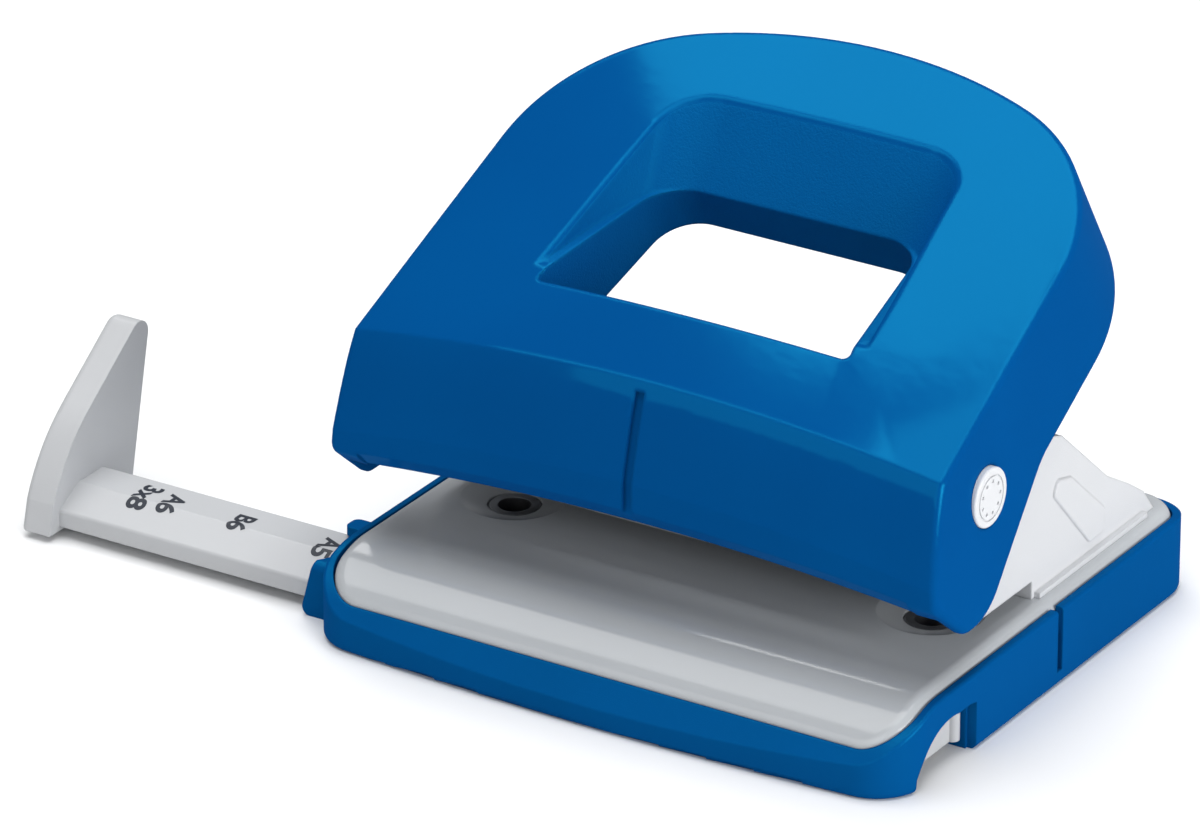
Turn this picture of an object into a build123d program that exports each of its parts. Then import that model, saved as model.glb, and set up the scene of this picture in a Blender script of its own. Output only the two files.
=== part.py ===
"""Two-hole desk punch: chip tray, base, sprung punch pins, pressing handle and sliding paper guide.

Frame: +X along the width, -Y towards the user's paper side, +Z up. The origin lies on the table,
midway between the two punch pins.
"""
from build123d import *
from math import atan2, cos, pi, radians, sin, tan
import os

os.makedirs("parts", exist_ok=True)

# ---------------------------------------------------------------- driving dimensions, millimetres
hole_spacing = 80.0        # centre to centre of the two punched holes
pin_diameter = 5.5
hole_to_stop = 12.0        # hole centre to the paper's edge
slot_height = 3.3
tray_width = 113.0
tray_front = 40.6          # tray's front wall, forward of the pins
tray_rear = 60.5
tray_wall = 1.5
tray_floor = 1.8
front_bow = 2.4            # how much the tray's front wall bulges
tray_corner = 9.0
lip_front = 37.0           # the plate meets the tray's front lip here
lip_height = 8.0
lip_slope = 1.14           # rise over run of the tray's front facet
rim_height = 13.7
rim_dip = 1.2              # the rim falls this much round the rear corners
plate_height = 14.8        # top of the base plate, where the paper lies
plate_round = 2.4          # rounding of the plate's side and rear edges
plate_wall = 2.0
plate_gap = 0.2
front_curve_start = -24.0  # forward of this the plate and the rim curve down to the lip
well_radius = 9.0
well_depth = 1.7           # the well is a shallow dish
die_radius = 4.6
die_depth = 4.4
frame_width = 103.4
frame_wall = 2.6
flange_width = 1.0         # flange along the frame's foot, outside its walls
flange_height = 1.0
panel_lift = 0.5           # embossed panel on each side of the frame
screw_reach = 4.2          # of the frame's screws above the plate
lever_thickness = 3.0
cheek_depth = 9.5          # how far the cheek over the slot reaches forward of the pins
cheek_thickness = 4.6
cheek_flare = 4.2          # rise of the cheek's lower edge at its front
pivot_y = -10.8
pivot_z = 43.6
axle_radius = 2.5
boss_radius = 8.3
cap_radius = 5.05
cap_proud = 0.7            # cap's face beyond the handle's side
top_slope = 26.0           # handle's top surface, degrees
crease_y = -24.3           # line where the handle's front panel meets its top, at the sides
crease_z = 51.0
handle_width = 111.2       # at the crease
handle_length = 82.3       # along the slope, crease to the rear
handle_narrowing = 2.4     # each side, crease to the start of the rear round
round_start = 46.0         # along the slope
handle_depth = 21.6        # of the rear wall, square to the top
handle_draft = 4.2         # degrees
handle_wall = 2.0
crown_front = 4.3          # arch of the top surface across the width, at the crease; none at the rear
crease_round = 0.5         # fillets of the handle's outside
edge_round = 1.2
front_bulge = 4.8          # how far the front stands forward of the crease
front_low_z = 33.6         # the front is upright from here down to its lower corner
keel_z = 23.1              # lowest edge of the handle's sides
front_lip = 1.6            # extra thickness along the front's lower edge
seam_width = 1.7           # groove down the middle of the front
seam_depth = 0.9
mouth_side = 28.4          # lower edge of the handle's front, at the sides and in the middle
mouth_middle = 31.1
handle_throw = 28.0        # degrees of handle travel
window_front = 17.1        # grip window, along the slope
window_rear = 49.1
window_front_width = 59.0
window_rear_width = 49.0
window_skirt = 14.5        # depth of the collar round the grip window
scoop_rear = 62.2          # finger scoop behind and beside the window
scoop_depth = 6.5
scoop_margin = 2.6
scoop_round = 1.0
pin_head_z = 34.45         # top of the pin's head at rest
spring_wire = 0.7
spring_turns = 4.5
guide_bar_width = 13.5
guide_bar_height = 6.0
guide_bar_front = -28.0
guide_bar_right = 53.4     # right end of the bar, as set
guide_stop = -113.0        # inner face of the paper stop, as set
fin_thickness = 6.0
fin_height = 29.8
sleeve_reach = 6.2         # sleeve round the bar, beyond the tray's left side
sleeve_lean = 2.6          # how far the sleeve's end leans in at its top
foot_radius = 2.8          # anti-slip pads
foot_depth = 0.8
floor_cut = 28.0           # right of this the guide's channel is open to the table
bottom_round = 1.2         # round the tray's lower edge
running = 0.05             # radial clearance of a pin or axle in its hole
slide_gap = 0.3            # clearance round the sliding bar
seat_gap = 0.1             # between pieces that only rest near one another

# ---------------------------------------------------------------- derived places
half_tray = tray_width / 2
half_hole = hole_spacing / 2
half_frame = frame_width / 2
half_handle = handle_width / 2
pin_radius = pin_diameter / 2
pin_sides = [("left", -half_hole), ("right", half_hole)]
slot_roof = plate_height + slot_height
cheek_top = slot_roof + cheek_thickness
lever_arm = -pivot_y
pivot = (pivot_y, pivot_z)
bar_bottom = tray_floor + 0.2
bar_top = bar_bottom + guide_bar_height
bar_rear = guide_bar_front + guide_bar_width
channel_front = guide_bar_front - slide_gap
channel_rear = bar_rear + slide_gap
top_plane = Plane(origin=(0, crease_y, crease_z), x_dir=(1, 0, 0),
                  z_dir=(0, -sin(radians(top_slope)), cos(radians(top_slope))))
rise = tan(radians(top_slope))
lever_half = lever_thickness / 2
collar_top = pin_head_z - 1.6


def save(node, shape):
    """Write one node, under its own name."""
    shape.label = node
    export_step(shape, f"parts/{node}.step")


def yz_prism(face, x_from, x_to):
    """A face drawn as (y, z), carried from one x to another."""
    return extrude(Plane.YZ.offset(x_from) * face, x_to - x_from)


def xz_prism(face, y_from, y_to):
    """A face drawn as (x, z), carried from one y to another."""
    return extrude(Plane.XZ.offset(-y_to) * face, y_to - y_from)


def disc_x(radius, x_from, x_to, y, z):
    """A cylinder along X."""
    return yz_prism(Pos(y, z) * Circle(radius), x_from, x_to)


def post(radius, x, y, z_from, z_to):
    """A cylinder along Z."""
    return Pos(x, y, z_from) * Cylinder(radius, z_to - z_from, align=(Align.CENTER, Align.CENTER, Align.MIN))


def block(x_from, x_to, y_from, y_to, z_from, z_to):
    """A box between two corners."""
    centre = Pos((x_from + x_to) / 2, (y_from + y_to) / 2, (z_from + z_to) / 2)
    return centre * Box(x_to - x_from, y_to - y_from, z_to - z_from)


def top_height(y):
    """Height of the handle's uncrowned top surface at y."""
    return crease_z + (y - crease_y) * rise


# ---------------------------------------------------------------- tray
def tray_outline():
    """Footprint with a bowed front and rounded corners."""
    front_corner = -(tray_front - front_bow)
    edges = [Line((half_tray, front_corner), (half_tray, tray_rear)),
             Line((half_tray, tray_rear), (-half_tray, tray_rear)),
             Line((-half_tray, tray_rear), (-half_tray, front_corner)),
             ThreePointArc((-half_tray, front_corner), (0, -tray_front), (half_tray, front_corner))]
    face = make_face(edges)
    return fillet(face.vertices(), tray_corner)


def mouth_outline(inset):
    """Inside of the tray's walls, with a straight front behind the lip."""
    half = half_tray - tray_wall - inset
    front = -lip_front + inset
    rear = tray_rear - tray_wall - inset
    face = Pos(0, (front + rear) / 2) * Rectangle(2 * half, rear - front)
    return fillet(face.vertices(), tray_corner - tray_wall - inset)


def rim_profile(height, lip, bottom, dip=0.0):
    """Side view of a top surface that curves down to the front lip; dip is its fall at the rear."""
    front = -lip_front
    drop = height - lip
    run = front_curve_start - front
    radius = (run * run + drop * drop) / (2 * drop)
    turn = 2 * atan2(drop, run)
    mid = (front_curve_start - radius * sin(turn / 2), height - radius * (1 - cos(turn / 2)))
    rear = tray_rear + 1
    toe = front - (lip - bottom) / lip_slope
    arc = ThreePointArc((front, lip), mid, (front_curve_start, height))
    rest = Polyline((front_curve_start, height), (rear - tray_corner, height), (rear, height - dip),
                    (rear, bottom), (toe, bottom), (front, lip))
    return make_face([arc, *rest.edges()])


def bar_section(grow):
    """Section of the guide's bar as (y, z): flat along the rear, sloping along the front."""
    front, rear = guide_bar_front - grow, bar_rear + grow
    low, high = bar_bottom - min(grow, 0.2), bar_top + grow
    slope_run, slope_drop = 6.0, 3.0
    return make_face(Polyline((front, low), (rear, low), (rear, high), (front + slope_run, high),
                              (front, high - slope_drop), close=True))


def guide_arch():
    """Opening in the right wall, where the bar can come out; it is open to the table."""
    front, rear, high = guide_bar_front - 4.4, bar_rear + 0.8, bar_top + 1.0
    edges = [Line((front, -1), (rear, -1)), Line((rear, -1), (rear, high - 0.4)),
             Line((rear, high - 0.4), (rear - 2.0, high)), Line((rear - 2.0, high), (rear - 5.5, high)),
             ThreePointArc((rear - 5.5, high), (front + 4.2, high - 1.8), (front + 0.4, 2.4)),
             Line((front + 0.4, 2.4), (front, -1))]
    return make_face(edges)


def guide_sleeve():
    """Collar round the bar on the left, with a bay in its top and a finger over the bar's rear edge."""
    front, rear, high = guide_bar_front - 2.4, bar_rear + 2.2, bar_top + 1.9
    inner = -half_tray + tray_wall
    low_end = -half_tray - sleeve_reach
    high_end = low_end + sleeve_lean
    side = make_face(Polyline((low_end, 0), (high_end, high), (inner, high), (inner, 0), close=True))
    collar = xz_prism(side, front, rear)
    collar = fillet(collar.edges().filter_by(Axis.Y).sort_by(Axis.X)[:1], 1.5)
    collar = fillet(collar.edges().filter_by(Axis.X).sort_by(Axis.Z)[-2:], 1.6)
    bay_front, bay_rear = front + 0.9, bar_rear - 1.5
    near, deep = (high_end - 0.4, bay_front), (high_end + 2.2, bay_front + 5.2)
    far = (high_end + 1.0, bay_rear)
    rest = Polyline(far, (low_end - 1, bay_rear), (low_end - 1, bay_front), near)
    outline = [ThreePointArc(near, deep, far), *rest.edges()]
    collar -= extrude(Pos(0, 0, bar_top - 2.4) * make_face(outline), 10)
    finger = block(low_end - 0.7, high_end + 2, bay_rear, rear, bar_top + slide_gap, high)
    tip = finger.edges().filter_by(Axis.Z).sort_by(Axis.X)
    return collar + fillet(tip[:2], 1.2)


def chip_tray():
    """Tray with the chip bin, the guide's channel, its sleeve and the resting posts."""
    shell = extrude(tray_outline(), rim_height + 2)
    shell = fillet(shell.edges().group_by(Axis.Z)[0], bottom_round)
    shell &= yz_prism(rim_profile(rim_height, lip_height, -1, rim_dip), -half_tray - 1, half_tray + 1)
    rim_edges = shell.edges().filter_by(lambda e: e.center().Z > lip_height - 0.5 and e.length > 40)
    shell = fillet(rim_edges.filter_by(Axis.Y), 0.6)
    shell -= Pos(0, 0, tray_floor) * extrude(mouth_outline(0), rim_height)
    rib = 1.2
    floor = tray_floor - 0.5
    shell += block(-half_tray + 1, floor_cut, channel_front - rib, channel_front, floor, bar_bottom + 3.4)
    over_bar = bar_top + slide_gap
    shell += block(-half_tray + 1, half_tray - 1, channel_rear, channel_rear + rib, floor, over_bar)
    for x in (-30.0, floor_cut - 8):
        shell += block(x, x + 6, channel_front - rib, channel_rear + rib, floor, over_bar + rib)
    for x in (-half_tray + 7.4, half_tray - 7.4):
        for y in (hole_to_stop - 4.5, tray_rear - 8.5):
            shell += post(2.2, x, y, floor, plate_height - plate_wall)
    shell += guide_sleeve()
    shell -= yz_prism(bar_section(slide_gap), -half_tray - sleeve_reach - 1, half_tray - 4)
    shell -= yz_prism(guide_arch(), half_tray - tray_wall - 0.2, half_tray + 1)
    shell -= block(floor_cut, half_tray - 1, guide_bar_front - 4.4, channel_rear, -1, bar_bottom)
    slit_mid = hole_to_stop + 1.4
    for side in (-1, 1):
        slit = block(-1.5, 1.5, slit_mid - 0.8, slit_mid + 0.8, 2.6, rim_height + 3)
        shell -= Pos(side * (half_tray - 0.5), 0, 0) * slit
    for x, y in foot_places():
        shell -= post(foot_radius, x, y, -1, foot_depth)
    return shell


def foot_places():
    """Centres of the four anti-slip pads."""
    return [(side * (half_tray - 17), y) for side in (-1, 1) for y in (-tray_front + 5.0, tray_rear - 11)]


def anti_slip_feet():
    """Four rubber discs, flush in the tray's floor."""
    return Compound(children=[post(foot_radius - seat_gap, x, y, 0, foot_depth) for x, y in foot_places()])


# ---------------------------------------------------------------- paper guide
def paper_guide():
    """Sliding bar with the fin that stops the paper's side."""
    bar = yz_prism(bar_section(0), guide_stop - 1, guide_bar_right)
    bar = fillet(bar.edges().filter_by(Axis.X).sort_by(Axis.Z)[-3:], 0.8)
    middle = (guide_bar_front + bar_rear) / 2
    hollow = Pos(middle, bar_bottom) * Rectangle(guide_bar_width - 4, 5.0)
    bar -= yz_prism(hollow, guide_stop + 3, guide_bar_right - 2)
    bead = 1.2
    bar += post(bead, guide_bar_right - 0.1, bar_rear - bead - 0.1, bar_bottom, bar_top)
    toe, tip, heel = guide_bar_front - 3.0, guide_bar_front + 27.2, bar_rear + 7.6
    low = bar_bottom - 0.8
    shoulder, bend = (toe + 1.4, low + 5.3), (toe + 12.4, fin_height - 9.6)
    front = [Line((toe, low), shoulder), ThreePointArc(shoulder, (toe + 5.2, fin_height - 16.7), bend)]
    high = fin_height + 0.6
    rest = Polyline(bend, (tip - 3.6, high), (tip + 0.4, high), (heel, low), (toe, low))
    profile = make_face(front + rest.edges())
    profile = fillet(profile.vertices().filter_by(lambda v: v.Y > fin_height - 3.0), 2.4)
    fin = yz_prism(profile, guide_stop - fin_thickness, guide_stop)
    outer = guide_stop - fin_thickness
    return bar + fillet(fin.edges().filter_by(lambda e: abs(e.center().X - outer) < 0.01), 1.3)


# ---------------------------------------------------------------- base plate and dies
def base_plate():
    """Plate that carries the paper; hollow underneath, with a skirt all round."""
    outer = extrude(mouth_outline(plate_gap), plate_height + 1)
    outer &= yz_prism(rim_profile(plate_height, lip_height + 0.3, -1), -half_tray, half_tray)
    upper = outer.edges().filter_by(lambda e: e.center().Z > lip_height + 0.2 and e.length > 3)
    outer = fillet(upper.filter_by(lambda e: e.center().Y > -lip_front + 8), plate_round)
    inner = extrude(mouth_outline(plate_gap + 1.8), plate_height)
    under = rim_profile(plate_height - plate_wall, lip_height + 0.3 - plate_wall, -1)
    inner &= yz_prism(under, -half_tray, half_tray)
    inner = fillet(inner.edges().group_by(Axis.Z)[-1], 1.6)
    skirt_bottom = make_face(Polyline((-lip_front - 2, -2), (-lip_front - 2, 5.9), (-lip_front + 2.5, 5.9),
                                      (-lip_front + 6, 9.2), (tray_rear + 1, 9.2), (tray_rear + 1, -2),
                                      close=True))
    plate = outer - inner - yz_prism(skirt_bottom, -half_tray, half_tray)
    dish = (well_radius ** 2 + well_depth ** 2) / (2 * well_depth)
    for _, x in pin_sides:
        plate += post(well_radius, x, 0, plate_height - die_depth - 1.2, plate_height - plate_wall + 0.1)
        plate -= Pos(x, 0, plate_height - well_depth + dish) * Sphere(dish)
        plate -= post(die_radius, x, 0, plate_height - die_depth, plate_height + 1)
        plate -= post(pin_radius + 0.6, x, 0, 0, plate_height)
    for x, y in screw_places():
        plate -= post(1.6, x, y, 0, plate_height + 1)
    return plate


def die():
    """Hardened ring that the pin cuts against."""
    top = plate_height - well_depth + 0.3
    ring = post(die_radius - 0.02, 0, 0, plate_height - die_depth, top)
    ring = chamfer(ring.edges().filter_by(GeomType.CIRCLE).sort_by(Axis.Z)[-1:], 0.4)
    return ring - post(pin_radius + running, 0, 0, 0, plate_height + 1)


# ---------------------------------------------------------------- punch frame
def frame_side():
    """Side view of the frame: pivot boss, sloping back, foot and the cheek over the slot."""
    y0, z0 = pivot
    back = [(21.0, 40.6), (36.5, 27.2), (43.7, 23.0), (49.2, 19.3), (52.2, 15.6), (52.9, plate_height)]
    lead = (y0 + boss_radius * 0.62, z0 + boss_radius * 0.785)
    front = -cheek_depth
    edges = [Line(lead, back[0])]
    edges += [Line(a, b) for a, b in zip(back, back[1:])]
    foot = [back[-1], (hole_to_stop, plate_height), (hole_to_stop, slot_roof), (front + 6, slot_roof),
            (front, slot_roof + cheek_flare), (y0 - boss_radius, z0 - 6)]
    edges += [Line(a, b) for a, b in zip(foot, foot[1:])]
    edges += [Line(foot[-1], (y0 - boss_radius, z0)),
              ThreePointArc((y0 - boss_radius, z0), (y0 - boss_radius * 0.45, z0 + boss_radius * 0.893),
                            lead)]
    return make_face(edges)


def cheek_section():
    """Slab over the slot, with its flared front, and the wall that stops the paper."""
    front, stop = -cheek_depth, hole_to_stop
    return make_face(Polyline((stop, plate_height), (stop + 2.6, plate_height), (stop + 2.6, cheek_top),
                              (front + 3.4, cheek_top), (front + 1.2, cheek_top + 2.8),
                              (front, cheek_top + 2.2), (front, slot_roof + cheek_flare),
                              (front + 6, slot_roof), (stop, slot_roof), close=True))


def back_section():
    """Sloping skin of the rear housing, thinner than the sides."""
    thick = 2.2
    line = [(26.0, 36.3), (36.5, 27.2), (43.7, 23.0), (49.2, 19.3), (52.2, 15.6), (52.9, plate_height)]
    under = [(52.9 - thick, plate_height), (52.2 - thick, 15.0), (48.0, 17.6), (42.6, 21.0), (35.3, 25.1),
             (26.0, 33.2)]
    return make_face(Polyline(*line, *under, close=True))


def screw_places():
    """Centres of the screws that hold the frame to the plate."""
    from_middle = half_frame - frame_wall - 3.0
    return [(side * from_middle, y) for side in (-1, 1) for y in (19.0, 43.0)]


def punch_frame():
    """Frame that carries the axle and guides the pins."""
    inside = half_frame - frame_wall
    body = yz_prism(cheek_section(), -inside - 0.1, inside + 0.1)
    body += yz_prism(back_section(), -inside - 0.1, inside + 0.1)
    for x_from in (-half_frame, inside):
        body += yz_prism(frame_side(), x_from, x_from + frame_wall)
    for x, y in screw_places():
        body += post(3.4, x, y, plate_height, plate_height + screw_reach + 0.8)
        body -= post(1.5, x, y, plate_height - 1, plate_height + screw_reach + 0.3)
    body -= disc_x(axle_radius + running, -half_frame - 1, half_frame + 1, *pivot)
    for _, x in pin_sides:
        body += post(6.2, x, 0, cheek_top - 1, cheek_top + 0.6)
        body -= post(4.2, x, 0, slot_roof - 1, cheek_top + 2)
    for side in (-1, 1):
        body += embossed_panel(side)
        outer, inner = side * (half_frame + flange_width), side * (half_frame - 1)
        body += block(min(outer, inner), max(outer, inner), hole_to_stop + 1, 49.0, plate_height,
                      plate_height + flange_height)
    return body


def embossed_panel(side):
    """Low raised panel on the frame's side wall, with rounded edges."""
    face = make_face(Polyline((18.2, 30.8), (30.6, 17.6), (35.6, 17.6), (35.6, 22.0), (24.0, 32.2),
                              (19.4, 33.4), close=True))
    wall = half_frame + panel_lift
    panel = yz_prism(fillet(face.vertices(), 1.2), half_frame - 1, wall)
    panel = fillet(panel.edges().filter_by(lambda e: abs(e.center().X - wall) < 0.01), panel_lift * 0.9)
    return panel if side > 0 else mirror(panel, Plane.YZ)


def pin_guide():
    """Steel bush that guides one pin through the cheek."""
    bush = post(4.2 - 0.02, 0, 0, slot_roof, cheek_top + 0.6)
    bush += post(5.6, 0, 0, cheek_top + 0.6, cheek_top + 1.2)
    return bush - post(pin_radius + running, 0, 0, slot_roof - 1, cheek_top + 2)


def frame_screws():
    """Four screws, from below the plate into the frame's posts."""
    under = plate_height - plate_wall
    screws = []
    for x, y in screw_places():
        screw = post(1.45, x, y, under - 0.5, plate_height + screw_reach)
        screw += post(3.0, x, y, under - 1.9, under)
        screw -= Pos(x, y, under - 1.9) * Box(0.8, 3.6, 1.4)
        screw -= Pos(x, y, under - 1.9) * Box(3.6, 0.8, 1.4)
        screws.append(screw)
    return Compound(children=screws)


# ---------------------------------------------------------------- axle
def axle_end():
    """Half length of the axle, short of the caps' faces."""
    return half_frame + 3.6


def axle():
    """Steel rod through the frame's bosses and the levers."""
    rod = disc_x(axle_radius, -axle_end(), axle_end(), *pivot)
    return chamfer(rod.edges().filter_by(GeomType.CIRCLE), 0.4)


def handle_side_at_pivot():
    """Half width of the handle's outside where the axle crosses it."""
    away = (pivot_y - crease_y, pivot_z - crease_z)
    along = away[0] * cos(radians(top_slope)) + away[1] * sin(radians(top_slope))
    depth = away[0] * sin(radians(top_slope)) - away[1] * cos(radians(top_slope))
    return half_handle - handle_narrowing * along / round_start + depth * tan(radians(handle_draft))


def axle_cap():
    """Round cap on one end of the axle, with a ring of dots; the right-hand one."""
    face_x = handle_side_at_pivot() + cap_proud
    cap = disc_x(cap_radius, half_frame + seat_gap, face_x, *pivot)
    cap = fillet(cap.edges().filter_by(GeomType.CIRCLE).sort_by(Axis.X)[-1:], 0.4)
    cap -= disc_x(axle_radius + 0.02, half_frame - 1, axle_end() + seat_gap, *pivot)
    cap -= disc_x(3.9, face_x - 0.25, face_x + 1, *pivot) - disc_x(3.6, face_x - 1, face_x + 1, *pivot)
    for i in range(9):
        turn = 2 * pi * i / 9
        cap -= disc_x(0.32, face_x - 0.3, face_x + 1, pivot_y + 2.8 * cos(turn), pivot_z + 2.8 * sin(turn))
    return cap


# ---------------------------------------------------------------- handle
def handle_outline(grow):
    """Plan of the handle on its top plane: straight sides, rounded corners and a gently arched rear."""
    lean = atan2(handle_narrowing, round_start)
    first, second = pi / 2 + lean, radians(160)
    side = half_handle - handle_narrowing
    a1, b1 = sin(first) - sin(second), sin(second)
    a2, b2 = cos(first) - cos(second), 1 + cos(second)
    room = handle_length - round_start
    wide_radius = (side * a2 - room * a1) / (b1 * a2 - b2 * a1)
    tight_radius = (room - b2 * wide_radius) / a2
    start = (half_handle + handle_narrowing * 22 / round_start, -22.0)
    bend = (side, round_start)
    join = (side - tight_radius * a1, round_start + tight_radius * a2)
    halfway = (first + second) / 2
    tight_mid = (side - tight_radius * (sin(first) - sin(halfway)),
                 round_start + tight_radius * (cos(first) - cos(halfway)))
    edges = [Line(start, bend), ThreePointArc(bend, tight_mid, join),
             ThreePointArc(join, (0, handle_length), (-join[0], join[1])),
             ThreePointArc((-join[0], join[1]), (-tight_mid[0], tight_mid[1]), (-bend[0], bend[1])),
             Line((-bend[0], bend[1]), (-start[0], start[1])), Line((-start[0], start[1]), start)]
    face = make_face(edges)
    return offset(face, grow, kind=Kind.INTERSECTION) if grow else face


def handle_side(inset, is_open):
    """Side view of the handle as (y, z); an open one runs on below, for the hollow."""
    front_low = (crease_y - front_bulge + inset, front_low_z)
    front_top = (front_low[0], crease_z + 30)
    sky = (tray_rear + 20, top_height(tray_rear + 20) + 12)
    if is_open:
        lip = front_low[0] + front_lip
        path = [front_top, front_low, (lip, front_low[1] - front_lip), (lip, 0), (sky[0], 0), sky]
        return make_face(Polyline(*path, close=True))
    corner = (front_low[0], front_low_z - 2.8)
    keel = (front_low[0] + 9.3, keel_z)
    bend_low = (keel[0] + 7.3, keel_z)
    steep = 0.966
    rim_drop = handle_depth / cos(radians(top_slope))
    bend_y = (bend_low[1] - steep * bend_low[0] - top_height(0) + rim_drop) / (rise - steep)
    bend_high = (bend_y, top_height(bend_y) - rim_drop)
    far = (sky[0], top_height(sky[0]) - rim_drop)
    path = [front_low, corner, keel, bend_low, bend_high, far, sky, front_top]
    face = make_face(Polyline(*path, close=True))
    for spot, radius in ((corner, 3.0), (keel, 4.0), (bend_low, 12.0), (bend_high, 16.0)):
        face = fillet(face.vertices().sort_by_distance((*spot, 0))[:1], radius)
    return face


def front_block(inset):
    """Everything behind the handle's front, whose rounded upper part arches with the crease."""
    y0, z0 = crease_y + inset, crease_z + crown_front
    points = [(y0 + 1.15, z0 + 2.0), (y0 - 1.2, z0 - 3.0), (y0 - 2.5, z0 - 7.0), (y0 - 3.8, z0 - 12.0),
              (y0 - front_bulge, z0 - 16.4)]
    rest = Polyline(points[-1], (points[-1][0], -5), (tray_rear + 20, -5), (tray_rear + 20, z0 + 60),
                    (y0 + 40, z0 + 60), points[0])
    face = Plane.YZ * make_face([Spline(*points), *rest.edges()])
    arch_radius = (half_handle ** 2 + crown_front ** 2) / (2 * crown_front)
    axis = Axis((0, 0, crease_z + crown_front - arch_radius), (0, 1, 0))
    span = 24.0
    return revolve(face.rotate(axis, -span / 2), axis, span)


def crowned_block(inset):
    """Everything under the handle's top surface, which arches across the width."""
    sections = []
    flat_y = crease_y + handle_length * cos(radians(top_slope))
    for y in (crease_y - 16, tray_rear + 20):
        crown = crown_front * (flat_y - y) / (flat_y - crease_y)
        high = top_height(y) - inset / cos(radians(top_slope))
        half = half_handle + 6
        edge_drop = crown * (half / half_handle) ** 2 - crown
        arc = ThreePointArc((-half, high - edge_drop), (0, high + crown), (half, high - edge_drop))
        lines = Polyline((half, high - edge_drop), (half, -5), (-half, -5), (-half, high - edge_drop))
        upright = Plane(origin=(0, y, 0), x_dir=(1, 0, 0), z_dir=(0, -1, 0))
        sections.append(upright * make_face([arc, *lines.edges()]))
    return loft(sections, ruled=True)


def handle_block(inset, is_open):
    """The handle's outside, or with an inset its hollow."""
    draft = tan(radians(handle_draft))
    above, below = 8.0, 46.0
    upper = top_plane.offset(above) * handle_outline(-inset - above * draft)
    lower = top_plane.offset(-below) * handle_outline(-inset + below * draft)
    prism = loft([lower, upper], ruled=True)
    side = yz_prism(handle_side(inset, is_open), -half_handle - 8, half_handle + 8)
    return prism & side & crowned_block(inset) & front_block(inset)


def depth_of(spot):
    """Depth of a point under the top plane."""
    return (top_height(spot.Y) - spot.Z) * cos(radians(top_slope))


def rounded_outside():
    """The handle's outside with its crease, its top edge and its sides' edges rounded."""
    body = handle_block(0, False)
    top = body.edges().filter_by(lambda e: depth_of(e.center()) < 0.9 and e.length > 30)
    top = top.filter_by(lambda e: e.center().Y > crease_y + 8)
    sides = body.edges().filter_by(lambda e: abs(e.center().X) > half_handle - 5)
    sides = sides.filter_by(lambda e: e.center().Y < hole_to_stop and e.center().Z < crease_z - 1)
    body = fillet(top + sides, edge_round)
    crease = body.edges().filter_by(lambda e: abs(e.center().Y - crease_y) < 0.8)
    return fillet(crease.filter_by(lambda e: e.length > handle_width * 0.8), crease_round)


def window_face(grow):
    """Grip window on the top plane: wider in front, with rounded rear corners."""
    f, r = window_front - grow, window_rear + grow
    wf, wr = window_front_width / 2 + grow, window_rear_width / 2 + grow
    face = make_face(Polyline((-wf, f), (wf, f), (wr, r), (-wr, r), close=True))
    face = fillet(face.vertices().sort_by(Axis.Y)[-2:], 8.0 + grow)
    return fillet(face.vertices().sort_by(Axis.Y)[:2], 1.2 + grow)


def window_prism(grow, depth):
    """The window carried square to the top plane."""
    face = window_face(grow)
    return loft([top_plane.offset(12) * face, top_plane.offset(-depth) * face], ruled=True)


def scoop_face(lift, grow):
    """Level of the finger scoop at a height over the top plane."""
    share = (lift + scoop_depth) / scoop_depth
    front = window_front - grow
    rear = window_rear + (scoop_rear - window_rear) * share + grow
    wf = window_front_width / 2 + 0.3 + scoop_margin * 0.35 * share + grow
    wr = window_rear_width / 2 + scoop_margin * share + grow
    face = make_face(Polyline((-wf, front), (wf, front), (wr, rear), (-wr, rear), close=True))
    face = fillet(face.vertices().sort_by(Axis.Y)[-2:], 8.5 + grow)
    return fillet(face.vertices().sort_by(Axis.Y)[:2], 1.2 + grow)


def scoop(grow):
    """Funnel from the top surface down to the window's rim; it deepens towards the rear."""
    lift = 6.0
    funnel = loft([top_plane.offset(-scoop_depth) * scoop_face(-scoop_depth, grow),
                   top_plane.offset(lift) * scoop_face(lift, grow)], ruled=True)
    tilt = (scoop_depth + 3.0) / (window_rear - window_front)
    front, rear = window_front - 5, scoop_rear + 40
    low_front, low_rear = 3.0 + 5 * tilt - grow, 3.0 - (rear - window_front) * tilt - grow
    sky = 30.0
    floor_side = make_face(Polyline((front, low_front), (rear, low_rear), (rear, sky), (front, sky),
                                    close=True))
    side = Plane(origin=top_plane.origin, x_dir=top_plane.y_dir, z_dir=top_plane.x_dir)
    return funnel & extrude(side * floor_side, 60, both=True)


def mouth_arch(lift):
    """Opening under the handle's front as (x, z)."""
    side, high = mouth_side + lift, mouth_middle + lift
    return make_face([ThreePointArc((-52, side), (0, high), (52, side)),
                      *Polyline((52, side), (52, 5), (-52, 5), (-52, side)).edges()])


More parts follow.
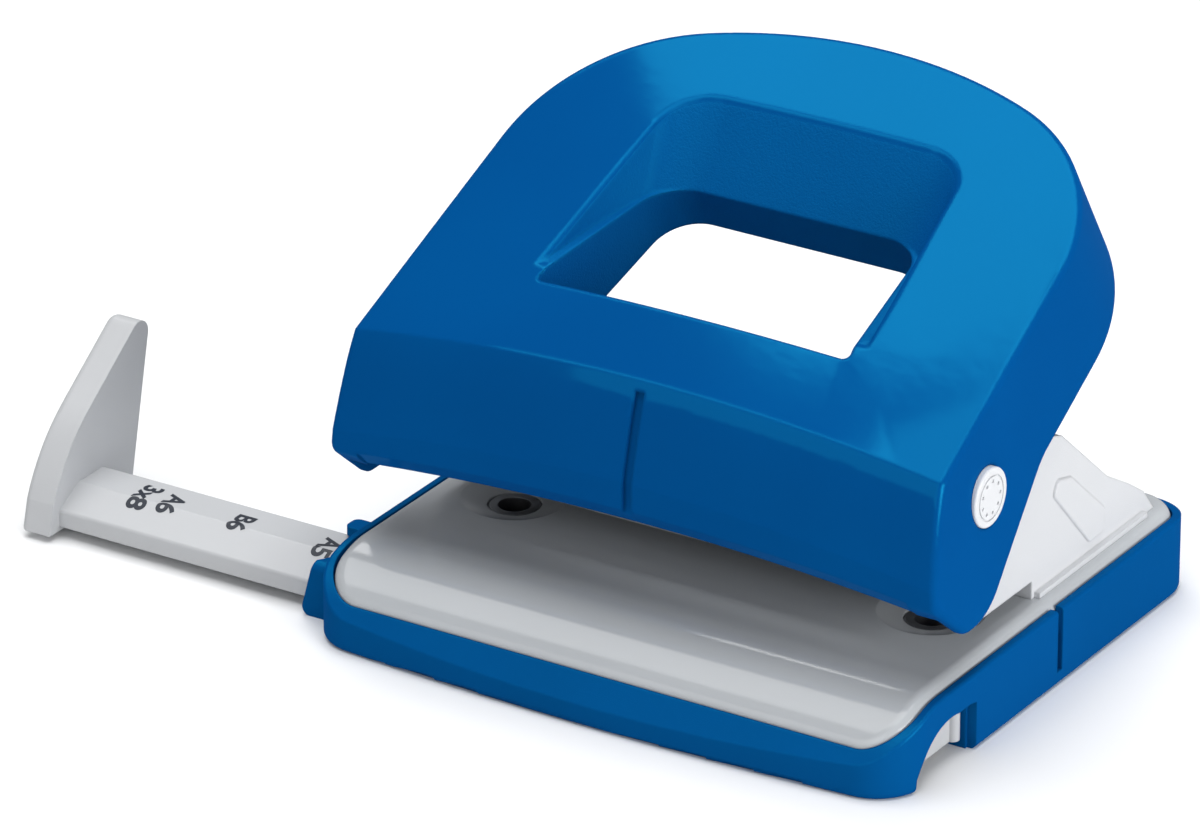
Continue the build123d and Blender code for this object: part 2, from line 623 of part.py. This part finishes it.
def handle_shell():
    """Hollow handle with the grip window, its collar, the scoop and the ribs round the levers."""
    outside = rounded_outside()
    shell = outside - handle_block(handle_wall, True)
    collar = window_prism(handle_wall, window_skirt) + scoop(handle_wall)
    ribs = None
    for _, x in pin_sides:
        for side in (-1, 1):
            centre = x + side * (lever_half + seat_gap + 0.9)
            rib = block(centre - 0.9, centre + 0.9, crease_y, 60, 20, 100)
            ribs = rib if ribs is None else ribs + rib
    under_top = Plane(origin=top_plane.origin, x_dir=top_plane.y_dir, z_dir=top_plane.x_dir)
    rib_side = under_top * make_face(Polyline((6, 6), (66, 6), (66, -9), (20, -9), (6, -6), close=True))
    shell += (collar + (ribs & extrude(rib_side, 60, both=True))) & outside
    shell -= window_prism(0, handle_depth + 10) + scoop(0)
    shell -= Plane.XZ.offset(-crease_y - 2.5) * extrude(mouth_arch(0), 20)
    bevel = front_lip + handle_wall - 0.5
    rear = crease_y - front_bulge + bevel
    arches = [Plane.XZ.offset(-rear) * mouth_arch(0), Plane.XZ.offset(-rear + 6) * mouth_arch(6)]
    shell -= loft(arches, ruled=True)
    half_seam = seam_width / 2
    seam = block(-half_seam, half_seam, crease_y - 10, crease_y + 1, 20, crease_z + crown_front - 1.7)
    shell -= seam - handle_block(seam_depth, False)
    shell -= disc_x(cap_radius + 2 * running, -80, -half_frame - 0.2, *pivot)
    shell -= disc_x(cap_radius + 2 * running, half_frame + 0.2, 80, *pivot)
    lip = shell.edges().filter_by(lambda e: depth_of(e.center()) < 0.2 and e.length > 8)
    lip = lip.filter_by(lambda e: abs(e.center().X) < 36)
    return fillet(lip.filter_by(lambda e: crease_y + 16 < e.center().Y < 42), scoop_round)


def press_lever():
    """Steel lever on the axle; its nose is an involute, so the pin moves in step with the handle."""
    y0, z0 = pivot
    drop = z0 - pin_head_z - 0.15

    def nose(turn):
        reach = drop + lever_arm * turn
        return (y0 + lever_arm * cos(turn) + reach * sin(turn),
                z0 + lever_arm * sin(turn) - reach * cos(turn))

    ring = 6.2
    travel = radians(handle_throw)
    start, end = nose(-0.2), nose(travel + 0.06)
    curve = Spline(start, nose(0), nose(travel / 2), end)
    along = (cos(radians(top_slope)), sin(radians(top_slope)))
    top = [(crease_y + s * along[0] + d * along[1], crease_z + s * along[1] - d * along[0])
           for s, d in ((52, 8.0), (52, 3.0), (13, 3.0))]
    path = [end, *top, (y0 - ring, z0 + 1), (y0 - ring + 1.0, z0 - 4.0), start]
    plate = make_face([curve] + [Line(a, b) for a, b in zip(path, path[1:])])
    body = yz_prism(plate, -lever_half, lever_half)
    body += disc_x(ring, -lever_half, lever_half, *pivot)
    return body - disc_x(axle_radius + 2 * running, -5, 5, *pivot)


# ---------------------------------------------------------------- pins and springs
def punch_pin():
    """Pin with a rounded head and a hollow-ground cutting end."""
    tip = slot_roof + 0.1
    pin = post(pin_radius, 0, 0, tip, pin_head_z)
    pin = fillet(pin.edges().filter_by(GeomType.CIRCLE).sort_by(Axis.Z)[-1:], 0.5)
    ground = make_face(Polyline((-3.5, tip - 0.6), (0, tip + 1.2), (3.5, tip - 0.6), close=True))
    notch = extrude(Plane.XZ * ground, 4, both=True)
    groove = post(pin_radius + 1, 0, 0, collar_top - 0.9, collar_top) - post(pin_radius - 0.5, 0, 0, 0, 50)
    return pin - notch - groove


def pin_clip():
    """Retaining clip in the pin's groove; the spring pushes on it."""
    ring = post(5.0, 0, 0, collar_top - 0.85, collar_top - 0.05)
    ring -= post(pin_radius - 0.48, 0, 0, 0, 50)
    return ring - block(-1.6, 1.6, -6, 0, 0, 50)


def return_spring():
    """Compression spring between the bush and the clip."""
    low = cheek_top + 1.2 + spring_wire / 2 + 0.05
    high = collar_top - 0.85 - spring_wire / 2 - 0.05
    radius = pin_radius + 1.2
    path = Pos(0, 0, low) * Helix(pitch=(high - low) / spring_turns, height=high - low, radius=radius)
    section = Plane(origin=path @ 0, z_dir=path % 0) * Circle(spring_wire / 2)
    return sweep(section, path, is_frenet=True)


# ---------------------------------------------------------------- write every node
save("chip_tray", chip_tray())
save("anti_slip_feet", anti_slip_feet())
save("paper_guide", paper_guide())
save("base_plate", base_plate())
save("punch_frame", punch_frame())
save("frame_screws", frame_screws())
save("axle", axle())
save("handle_shell", handle_shell())
right_cap = axle_cap()
save("axle_cap_right", right_cap)
save("axle_cap_left", mirror(right_cap, Plane.YZ))
for name, place in pin_sides:
    save(f"die_{name}", Pos(place, 0, 0) * die())
    save(f"pin_guide_{name}", Pos(place, 0, 0) * pin_guide())
    save(f"punch_pin_{name}", Pos(place, 0, 0) * punch_pin())
    save(f"pin_clip_{name}", Pos(place, 0, 0) * pin_clip())
    save(f"return_spring_{name}", Pos(place, 0, 0) * return_spring())
    save(f"press_lever_{name}", Pos(place, 0, 0) * press_lever())
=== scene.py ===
from math import cos, pi, radians, sin

import bmesh
import bpy
import numpy as np
from mathutils import Matrix, Vector
from mathutils.bvhtree import BVHTree


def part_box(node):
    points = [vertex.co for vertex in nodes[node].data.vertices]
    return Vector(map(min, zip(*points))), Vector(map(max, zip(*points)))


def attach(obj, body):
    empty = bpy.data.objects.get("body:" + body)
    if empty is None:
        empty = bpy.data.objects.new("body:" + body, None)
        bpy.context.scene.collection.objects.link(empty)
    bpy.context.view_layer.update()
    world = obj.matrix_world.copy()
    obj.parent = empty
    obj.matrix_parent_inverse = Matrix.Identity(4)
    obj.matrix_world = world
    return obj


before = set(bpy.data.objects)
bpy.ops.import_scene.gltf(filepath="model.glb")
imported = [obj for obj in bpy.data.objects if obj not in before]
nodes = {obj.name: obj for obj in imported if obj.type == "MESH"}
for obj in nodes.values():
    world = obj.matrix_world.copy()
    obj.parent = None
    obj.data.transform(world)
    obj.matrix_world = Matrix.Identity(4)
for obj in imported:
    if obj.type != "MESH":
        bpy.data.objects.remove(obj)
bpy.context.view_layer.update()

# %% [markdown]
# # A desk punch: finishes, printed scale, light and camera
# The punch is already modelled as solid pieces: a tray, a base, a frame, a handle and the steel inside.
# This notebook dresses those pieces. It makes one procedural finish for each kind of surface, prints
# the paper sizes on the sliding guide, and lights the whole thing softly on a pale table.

MM = 0.001
MICRON = 0.000001
print("pieces in the frame:", len(nodes))

# %% [markdown]
# ## The camera
# The view is a long lens from the front right, a little above. A long lens keeps the two ends of the
# punch almost the same size, as a catalogue picture does. The camera stands on a line from the middle
# of the punch, given by a turn, a height angle and a distance, so each can be changed by itself.

# %% Camera
LOOK_AT = Vector((-0.0198, -0.0055, 0.0367))
CAMERA_TURN = radians(32.19)
CAMERA_RISE = radians(25.03)
CAMERA_DISTANCE = 1.4304
LENS = 262.8


def direction(turn, rise):
    """Unit vector towards a turn from -Y about +Z and a rise above the table."""
    return Vector((sin(turn) * cos(rise), -cos(turn) * cos(rise), sin(rise)))


camera_data = bpy.data.cameras.new("camera")
camera_data.lens = LENS
camera_data.sensor_width = 36.0
camera_data.clip_start = 0.05
camera = bpy.data.objects.new("camera", camera_data)
bpy.context.scene.collection.objects.link(camera)
camera.location = LOOK_AT + CAMERA_DISTANCE * direction(CAMERA_TURN, CAMERA_RISE)
camera.rotation_euler = (LOOK_AT - camera.location).to_track_quat("-Z", "Y").to_euler()
bpy.context.scene.camera = camera
print("camera at", [round(v, 3) for v in camera.location])

# %% [markdown]
# ## The table and the light
# Glossy plastic shows what is around it more than what colour it is, so each box is placed by what
# mirrors it. The front box hangs over the near side and draws the bright band where the plate curves
# down. The rear box stands turned, so that its near edge crosses the sloping top of the handle and
# parts it into a dark left and a bright right. The fill box is wide and dim, and lifts the near edge
# of the plate. The side box lights the handle's right side. The world stays low and the table doesn't
# show in reflections, so the blue stays deep in tone.

# %% Table
HALF_TABLE = 3.0
table_mesh = bpy.data.meshes.new("table")
corners = HALF_TABLE * np.array([(-1, -1, 0), (1, -1, 0), (1, 1, 0), (-1, 1, 0)], dtype=float)
table_mesh.from_pydata(corners.tolist(), [], [(0, 1, 2, 3)])
table = bpy.data.objects.new("table", table_mesh)
bpy.context.scene.collection.objects.link(table)
table.visible_glossy = False
table_white = bpy.data.materials.new("table_white")
table_white.use_nodes = True
table_shader = table_white.node_tree.nodes["Principled BSDF"]
table_shader.inputs["Base Color"].default_value = (0.86, 0.865, 0.87, 1.0)
table_shader.inputs["Roughness"].default_value = 0.6
table_mesh.materials.append(table_white)

# %% Lights
def softbox(name, centre, facing, turn, width, height, radiance):
    """A rectangular area light; turn is in degrees, and its power follows from its radiance."""
    data = bpy.data.lights.new(name, "AREA")
    data.shape = "RECTANGLE"
    data.size, data.size_y = width, height
    data.energy = radiance * pi * width * height
    lamp = bpy.data.objects.new(name, data)
    bpy.context.scene.collection.objects.link(lamp)
    aim = Vector(facing).to_track_quat("-Z", "Y").to_matrix()
    spot = Matrix.Rotation(radians(turn), 3, "Z") @ aim
    lamp.matrix_world = Matrix.LocRotScale(Vector(centre), spot, None)
    return lamp


LIGHT_HEIGHT = 1.04
DOWN = (0, 0, -1)
softbox("front_box", (-0.17, -0.19, LIGHT_HEIGHT), DOWN, 0.0, 1.16, 0.66, 2.7)
softbox("rear_box", (-0.22, 0.40, LIGHT_HEIGHT), DOWN, -23.6, 1.30, 0.50, 4.4)
softbox("fill_box", (-0.15, -1.55, 0.85), (0.08, 0.88, -0.47), 0.0, 1.7, 0.9, 1.1)
softbox("side_box", (1.15, -0.10, 0.30), (-1, 0.09, -0.22), 0.0, 1.0, 0.5, 7.0)

world = bpy.data.worlds.new("studio")
bpy.context.scene.world = world
world.use_nodes = True
sky = world.node_tree.nodes["Background"]
sky.inputs["Color"].default_value = (0.97, 0.985, 1.0, 1.0)
sky.inputs["Strength"].default_value = 0.25
bpy.context.scene.view_settings.view_transform = "Standard"

# %% [markdown]
# ## A small language for finishes
# A procedural finish is arithmetic on the position of a point. Written as nodes, the arithmetic is
# hard to read, so a small class wraps a socket and lets Python's own operators add the Math nodes.
# `Finish` starts a material and adds any other node by its type, settings and inputs.

# %% Socket arithmetic
class Flow:
    """A number travelling through a shader, with arithmetic that adds Math nodes."""

    def __init__(self, finish, socket):
        self.finish, self.socket = finish, socket

    def maths(self, operation, *others):
        """A Math node on this number and the others."""
        return self.finish.add("ShaderNodeMath", {"operation": operation}, dict(enumerate((self, *others))))

    def __add__(self, other):
        return self.maths("ADD", other)

    def __sub__(self, other):
        return self.maths("SUBTRACT", other)

    def __rsub__(self, other):
        return (self * -1.0) + other

    def __mul__(self, other):
        return self.maths("MULTIPLY", other)

    def __truediv__(self, other):
        return self.maths("DIVIDE", other)

    __radd__, __rmul__ = __add__, __mul__

    def absolute(self):
        return self.maths("ABSOLUTE")

    def ramp(self, low, high):
        """0 below low, 1 above high, smooth between."""
        settings = {"interpolation_type": "SMOOTHSTEP", "clamp": True}
        inputs = {"Value": self, "From Min": low, "From Max": high, "To Min": 0.0, "To Max": 1.0}
        return self.finish.add("ShaderNodeMapRange", settings, inputs)


class Finish:
    """A material built up node by node."""

    def __init__(self, name, colour, roughness, metallic=0.0):
        self.material = bpy.data.materials.new(name)
        self.material.use_nodes = True
        self.tree = self.material.node_tree
        self.shader = self.tree.nodes["Principled BSDF"]
        self.put("Base Color", (*colour, 1.0))
        self.put("Roughness", roughness)
        self.put("Metallic", metallic)
        self.material.diffuse_color = (*colour, 1.0)

    def put(self, name, value):
        """Sets or links one input of the main shader."""
        self.connect(self.shader.inputs[name], value)

    def connect(self, socket, value):
        if isinstance(value, Flow):
            self.tree.links.new(value.socket, socket)
        else:
            socket.default_value = value

    def add(self, kind, settings=None, inputs=None, output=0):
        """Adds a node, with its settings first and then its inputs, and returns one output."""
        node = self.tree.nodes.new(kind)
        for key, value in (settings or {}).items():
            setattr(node, key, value)
        for key, value in (inputs or {}).items():
            self.connect(node.inputs[key], value)
        return Flow(self, node.outputs[output])

    def place(self):
        """Position on the piece, in metres, and its three numbers."""
        where = self.add("ShaderNodeTexCoord", output="Object")
        split = self.tree.nodes.new("ShaderNodeSeparateXYZ")
        self.tree.links.new(where.socket, split.inputs[0])
        return where, [Flow(self, split.outputs[i]) for i in range(3)]

    def noise(self, where, scale, detail=2.0, roughness=0.5):
        """Smooth random values about 0.5; scale is in cells per metre."""
        inputs = {"Vector": where, "Scale": scale, "Detail": detail, "Roughness": roughness}
        return self.add("ShaderNodeTexNoise", None, inputs)

    def stretched(self, where, scale):
        """The position with each axis scaled by its own amount."""
        return self.add("ShaderNodeVectorMath", {"operation": "MULTIPLY"}, {0: where, 1: scale})

    def mix(self, share, first, second):
        """A colour between two others."""
        inputs = {"Factor": share, 6: first, 7: second}
        return self.add("ShaderNodeMix", {"data_type": "RGBA"}, inputs, 2)

    def bump(self, height, distance, strength=1.0, rounding=0.0):
        """Relief from a height; rounding softens sharp edges by that radius, in metres."""
        inputs = {"Height": height, "Distance": distance, "Strength": strength}
        if rounding:
            inputs["Normal"] = self.add("ShaderNodeBevel", {"samples": 6}, {"Radius": rounding})
        self.put("Normal", self.add("ShaderNodeBump", None, inputs))

    def lacquer(self, tint, share):
        """A thin tinted mirror mixed over the colour, so that highlights stay blue at any slant."""
        mirror = self.tree.nodes.new("ShaderNodeBsdfPrincipled")
        mirror.inputs["Base Color"].default_value = (*tint, 1.0)
        mirror.inputs["Metallic"].default_value = 1.0
        for name in ("Roughness", "Normal"):
            self.tree.links.new(self.shader.inputs[name].links[0].from_socket, mirror.inputs[name])
        self.put("Specular IOR Level", 0.0)
        mixed = self.tree.nodes.new("ShaderNodeMixShader")
        mixed.inputs["Fac"].default_value = share
        self.tree.links.new(self.shader.outputs["BSDF"], mixed.inputs[1])
        self.tree.links.new(mirror.outputs["BSDF"], mixed.inputs[2])
        self.tree.links.new(mixed.outputs["Shader"], self.tree.nodes["Material Output"].inputs["Surface"])


# %% [markdown]
# ## Moulded plastic
# Injection moulding copies the steel mould. A polished mould leaves a glossy skin with a faint
# orange-peel ripple; a spark-eroded mould leaves a fine grain. Both are relief of a few microns, so
# each finish is a plain colour with a bump, and a slow drift in colour and gloss keeps it from
# looking painted on. The blue pieces also carry a thin blue mirror, which keeps their highlights blue.

# %% Plastic finishes
BLUE = (0.0006, 0.066, 0.245)
DEEP_BLUE = (0.0006, 0.060, 0.230)
BLUE_SHEEN = (0.02, 0.62, 0.94)
SHEEN_SHARE = 0.048
PLATE_GREY = (0.44, 0.46, 0.48)
FRAME_GREY = (0.60, 0.61, 0.63)
GUIDE_GREY = (0.50, 0.51, 0.525)
CAP_GREY = (0.66, 0.67, 0.69)
FINE_GRAIN = 5200.0


def satin_plastic(name, colour, roughness, grain, relief, rounding, drift=0.04, sheen=None):
    """Grained moulding: grain is in cells per metre and relief in metres; sheen tints the reflection."""
    finish = Finish(name, colour, roughness)
    where, _ = finish.place()
    fine = finish.noise(where, grain, 3.0, 0.6)
    slow = finish.noise(where, 28.0, 2.0)
    darker = tuple(c * (1.0 - 2.0 * drift) for c in colour)
    finish.put("Base Color", finish.mix(slow.ramp(0.3, 0.7), (*darker, 1.0), (*colour, 1.0)))
    finish.put("Roughness", fine * 0.06 + (slow * 0.04 + (roughness - 0.05)))
    finish.bump(fine, relief, 1.0, rounding)
    if sheen:
        finish.lacquer(sheen, SHEEN_SHARE)
    return finish.material


tray_blue = satin_plastic("tray_blue", BLUE, 0.30, FINE_GRAIN, 30 * MICRON, 0.4 * MM, 0.04, BLUE_SHEEN)
plate_grey = satin_plastic("plate_grey", PLATE_GREY, 0.10, FINE_GRAIN, 4 * MICRON, 0.4 * MM, 0.01)
frame_grey = satin_plastic("frame_grey", FRAME_GREY, 0.42, 4200.0, 40 * MICRON, 0.5 * MM, 0.01)
guide_grey = satin_plastic("guide_grey", GUIDE_GREY, 0.20, FINE_GRAIN, 10 * MICRON, 0.3 * MM, 0.01)
cap_grey = satin_plastic("cap_grey", CAP_GREY, 0.34, FINE_GRAIN, 10 * MICRON, 0.1 * MM, 0.01)

# %% [markdown]
# ## The handle's two textures
# The handle is polished everywhere but in the finger scoop, where a grain helps the grip. It is one
# moulding, so one finish carries both, told apart by where a point lies: inside the scoop's outline,
# seen square to the sloping top, and below the top surface.

# %% Handle finish
TOP_SLOPE = radians(26.0)
CREASE_Y, CREASE_Z = -24.3 * MM, 51.0 * MM
SCOOP_HALF_FRONT, SCOOP_HALF_REAR = 31.5 * MM, 28.0 * MM
SCOOP_FRONT, SCOOP_REAR = 17.0 * MM, 62.4 * MM
CROWN = 4.3 * MM
TOP_RUN = 74.0 * MM
HALF_WIDTH = 55.6 * MM


def handle_finish():
    """Polished blue with a grained scoop."""
    finish = Finish("handle_blue", BLUE, 0.17)
    where, (x, y, z) = finish.place()
    up = z - CREASE_Z
    back = y - CREASE_Y
    along = back * cos(TOP_SLOPE) + up * sin(TOP_SLOPE)
    depth = back * sin(TOP_SLOPE) - up * cos(TOP_SLOPE)
    share = x / HALF_WIDTH
    crown = (1.0 - share * share) * (1.0 - back / TOP_RUN) * (CROWN * cos(TOP_SLOPE))
    below = (depth + crown).ramp(0.25 * MM, 0.8 * MM)
    narrowing = (SCOOP_HALF_REAR - SCOOP_HALF_FRONT) / (SCOOP_REAR - SCOOP_FRONT)
    half = (along - SCOOP_FRONT) * narrowing + SCOOP_HALF_FRONT
    inside = (half - x.absolute()).ramp(0.0, 0.5 * MM)
    past_front = along.ramp(SCOOP_FRONT - 0.5 * MM, SCOOP_FRONT)
    before_rear = (SCOOP_REAR + 2 * MM - along).ramp(0.0, 1.0 * MM)
    scoop = below * inside * (past_front * before_rear)
    grain = finish.noise(where, 2600.0, 3.0, 0.65)
    ripple = finish.noise(where, 420.0, 1.0, 0.4)
    slow = finish.noise(where, 22.0, 2.0)
    finish.put("Base Color", finish.mix(slow.ramp(0.3, 0.7), (*DEEP_BLUE, 1.0), (*BLUE, 1.0)))
    finish.put("Roughness", scoop * (grain * 0.15 + 0.30) + slow * 0.03 + 0.05)
    relief = grain * scoop * (90 * MICRON) + ripple * (3.5 * MICRON)
    finish.bump(relief, 1.0, 1.0, 0.9 * MM)
    finish.lacquer(BLUE_SHEEN, SHEEN_SHARE)
    return finish.material


handle_blue = handle_finish()

# %% [markdown]
# ## Steel
# The pins and dies are ground and hardened, the axle and levers are zinc-plated. Grinding leaves
# fine lines round a pin; they are noise squeezed along one axis.

# %% Steel and rubber finishes
def steel(name, colour, roughness, squeeze):
    """Bare metal with fine lines; squeeze holds how dense the noise is along each axis."""
    finish = Finish(name, colour, roughness, 1.0)
    where, _ = finish.place()
    lines = finish.noise(finish.stretched(where, squeeze), 1.0, 2.0)
    slow = finish.noise(where, 90.0, 2.0)
    finish.put("Roughness", lines * 0.14 + (slow * 0.08 + (roughness - 0.11)))
    finish.bump(lines, 12 * MICRON, 1.0, 0.2 * MM)
    return finish.material


tool_steel = steel("tool_steel", (0.34, 0.35, 0.37), 0.34, (300.0, 300.0, 9000.0))
plain_steel = steel("plain_steel", (0.62, 0.62, 0.61), 0.36, (900.0, 5000.0, 900.0))
spring_steel = steel("spring_steel", (0.42, 0.42, 0.44), 0.30, (2500.0, 2500.0, 2500.0))
pad_rubber = satin_plastic("pad_rubber", (0.028, 0.028, 0.030), 0.72, 3000.0, 60 * MICRON, 0.2 * MM)

# %% Each piece gets its finish
FINISHES = {
    "chip_tray": tray_blue, "anti_slip_feet": pad_rubber, "paper_guide": guide_grey,
    "base_plate": plate_grey, "punch_frame": frame_grey, "handle_shell": handle_blue,
    "axle_cap": cap_grey, "die": tool_steel, "punch_pin": tool_steel, "pin_guide": plain_steel,
    "pin_clip": spring_steel, "return_spring": spring_steel, "press_lever": plain_steel,
    "frame_screws": plain_steel, "axle": plain_steel,
}


def dress(piece, material):
    """Gives every face of a piece one finish."""
    piece.data.materials.clear()
    piece.data.materials.append(material)


for name, piece in nodes.items():
    base_name = name.removesuffix("_left").removesuffix("_right")
    dress(piece, FINISHES[base_name])
print("dressed", len(nodes), "pieces in", len(set(FINISHES.values())), "finishes")

# %% [markdown]
# ## The printed paper sizes
# The guide's bar carries the sheet sizes that its stop can be set to, printed in dark ink. The
# letters stand with their tops to the right and read towards the user. Each mark is text turned into
# a mesh, cut fine enough to follow the bar, and dropped onto it from above, so that the ink lies on
# the flat and on the slope alike.

# %% Ink on the guide
INK_HEIGHT = 3.8 * MM
INK_LIFT = 0.03 * MM
INK_BOLDNESS = 0.032
WELL_ABOVE = 50.0 * MM
CUTS = np.linspace(-2.4, 2.4, 49)
MARKS = {"3x8": 12.4, "A6": 18.0, "B6": 32.0, "A5": 49.3}
MARK_Y = -20.6 * MM
FIN_THICKNESS = 6.0 * MM

ink = Finish("scale_ink", (0.003, 0.008, 0.020), 0.45)
ink_place, _ = ink.place()
ink_grain = ink.noise(ink_place, 2500.0)
ink.put("Roughness", ink_grain * 0.2 + 0.35)
ink.bump(ink_grain, 10 * MICRON)


def letters(text):
    """A flat mesh of the text, standing on y = 0 and centred on x = 0, one unit high."""
    curve = bpy.data.curves.new("letters", "FONT")
    curve.body = text
    curve.size = 1.0
    curve.offset = INK_BOLDNESS
    holder = bpy.data.objects.new("letters", curve)
    bpy.context.scene.collection.objects.link(holder)
    mesh = bpy.data.meshes.new_from_object(holder.evaluated_get(bpy.context.evaluated_depsgraph_get()))
    bpy.data.objects.remove(holder)
    spots = np.empty(3 * len(mesh.vertices))
    mesh.vertices.foreach_get("co", spots)
    spots = spots.reshape(-1, 3)
    low, high = spots.min(axis=0), spots.max(axis=0)
    spots[:, 0] -= (low[0] + high[0]) / 2
    spots[:, 1] -= low[1]
    spots /= high[1] - low[1]
    mesh.vertices.foreach_set("co", spots.ravel())
    return mesh


def surface_of(piece):
    """A searchable copy of a piece's faces."""
    work = bmesh.new()
    work.from_mesh(piece.data)
    tree = BVHTree.FromBMesh(work)
    work.free()
    return tree


def print_mark(text, offset, surface, stop_x):
    """Ink of one mark: up is +X, reading runs towards -Y, and every point drops onto the bar."""
    mesh = letters(text)
    work = bmesh.new()
    work.from_mesh(mesh)
    for cut in CUTS:
        everything = work.verts[:] + work.edges[:] + work.faces[:]
        bmesh.ops.bisect_plane(work, geom=everything, plane_co=(float(cut), 0, 0), plane_no=(1, 0, 0))
    bmesh.ops.triangulate(work, faces=work.faces[:])
    centre_x = stop_x + offset * MM
    for vertex in work.verts:
        x = centre_x + (vertex.co.y - 0.5) * INK_HEIGHT
        y = MARK_Y - vertex.co.x * INK_HEIGHT
        hit = surface.ray_cast(Vector((x, y, WELL_ABOVE)), Vector(DOWN))[0]
        vertex.co = (x, y, hit.z + INK_LIFT)
    bmesh.ops.recalc_face_normals(work, faces=work.faces[:])
    if sum(face.normal.z for face in work.faces) < 0:
        bmesh.ops.reverse_faces(work, faces=work.faces[:])
    work.to_mesh(mesh)
    work.free()
    mark = bpy.data.objects.new(f"scale_mark_{text}", mesh)
    bpy.context.scene.collection.objects.link(mark)
    dress(mark, ink.material)
    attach(mark, "guide")
    return mark


bar = surface_of(nodes["paper_guide"])
stop_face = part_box("paper_guide")[0][0] + FIN_THICKNESS
marks = [print_mark(text, offset, bar, stop_face) for text, offset in MARKS.items()]
print("printed", [mark.name for mark in marks])
